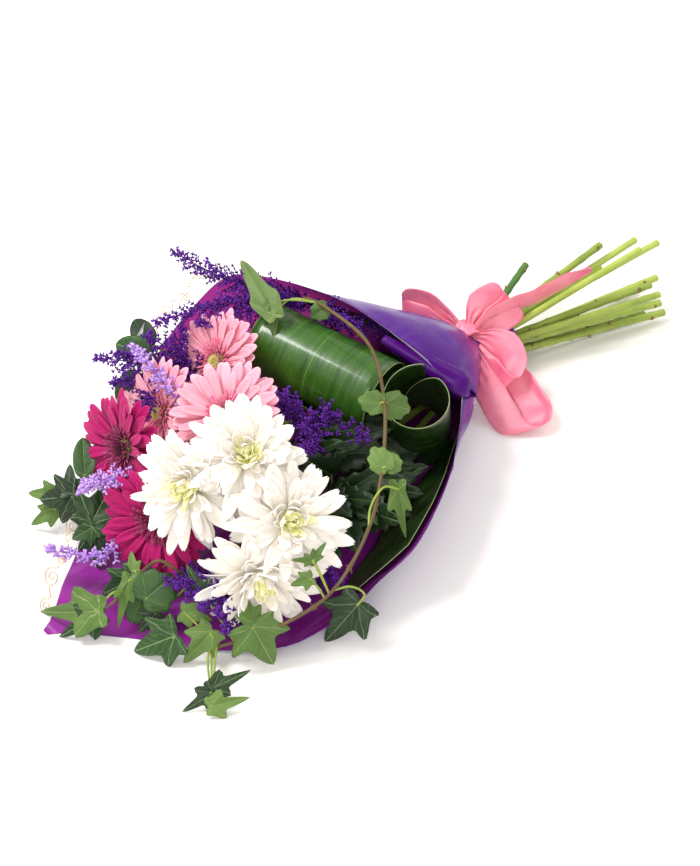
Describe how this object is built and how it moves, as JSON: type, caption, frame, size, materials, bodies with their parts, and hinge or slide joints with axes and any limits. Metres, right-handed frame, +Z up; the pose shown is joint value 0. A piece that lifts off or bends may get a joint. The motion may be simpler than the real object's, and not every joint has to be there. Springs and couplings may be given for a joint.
{
  "type": "flower bouquet",
  "caption": "Bouquet of mixed flowers lying on its side: gerberas, chrysanthemums, dyed sprays and ivy in a cone of film, bound above the cut stems and tied with a ribbon bow.",
  "frame": {"origin": "on the surface the bouquet lies on, under the middle of its bounding box", "axes": "+X along the bundle towards the cut stem ends, +Z up from the surface, +Y to the left of the bundle seen from the blooms"},
  "size_m": [0.7313, 0.3559, 0.158],
  "materials": {
    "film": "glossy coloured film",
    "ribbon": "satin",
    "binding": "natural fibre tie",
    "white_petal": "soft petal",
    "yellow_floret": "matte floret",
    "pink_petal": "soft petal",
    "pink_floret": "matte floret",
    "magenta_petal": "soft petal",
    "dark_floret": "matte floret",
    "stem": "fresh green stem",
    "purple_spray": "matte dyed floret",
    "lilac_spray": "matte dyed floret",
    "ivy": "semi-gloss leaf",
    "aspidistra": "glossy leaf",
    "salal": "semi-gloss leaf"
  },
  "bodies": {
    "root": {"film_wrap": "film", "binding": "binding", "ribbon_bow": "ribbon", "gerbera_pink_a_stem": "stem", "gerbera_pink_b_stem": "stem", "gerbera_pink_c_stem": "stem", "gerbera_magenta_a_stem": "stem", "gerbera_magenta_b_stem": "stem", "gerbera_pink_a_petals": "pink_petal", "gerbera_pink_b_petals": "pink_petal", "gerbera_pink_c_petals": "pink_petal", "gerbera_magenta_a_petals": "magenta_petal", "gerbera_magenta_b_petals": "magenta_petal", "gerbera_pink_a_eye": "pink_floret", "gerbera_pink_b_eye": "pink_floret", "gerbera_pink_c_eye": "pink_floret", "gerbera_magenta_a_eye": "dark_floret", "gerbera_magenta_b_eye": "dark_floret", "chrysanthemum_stem_a": "stem", "chrysanthemum_stem_b": "stem", "chrysanthemum_a_petals": "white_petal", "chrysanthemum_b_petals": "white_petal", "chrysanthemum_c_petals": "white_petal", "chrysanthemum_d_petals": "white_petal", "chrysanthemum_a_eye": "yellow_floret", "chrysanthemum_b_eye": "yellow_floret", "chrysanthemum_c_eye": "yellow_floret", "chrysanthemum_d_eye": "yellow_floret", "goldenrod_a_stem": "stem", "goldenrod_b_stem": "stem", "goldenrod_c_stem": "stem", "goldenrod_d_stem": "stem", "goldenrod_a": "purple_spray", "goldenrod_b": "purple_spray", "goldenrod_c": "purple_spray", "goldenrod_d": "purple_spray", "lilac_a_stem": "stem", "lilac_b_stem": "stem", "lilac_a": "lilac_spray", "lilac_b": "lilac_spray", "aspidistra_upper": "aspidistra", "aspidistra_lower": "aspidistra", "aspidistra_lining": "aspidistra", "ivy_long": "ivy", "ivy_front": "ivy", "ivy_left": "ivy", "salal_left": "salal"}
  },
  "joints": []
}
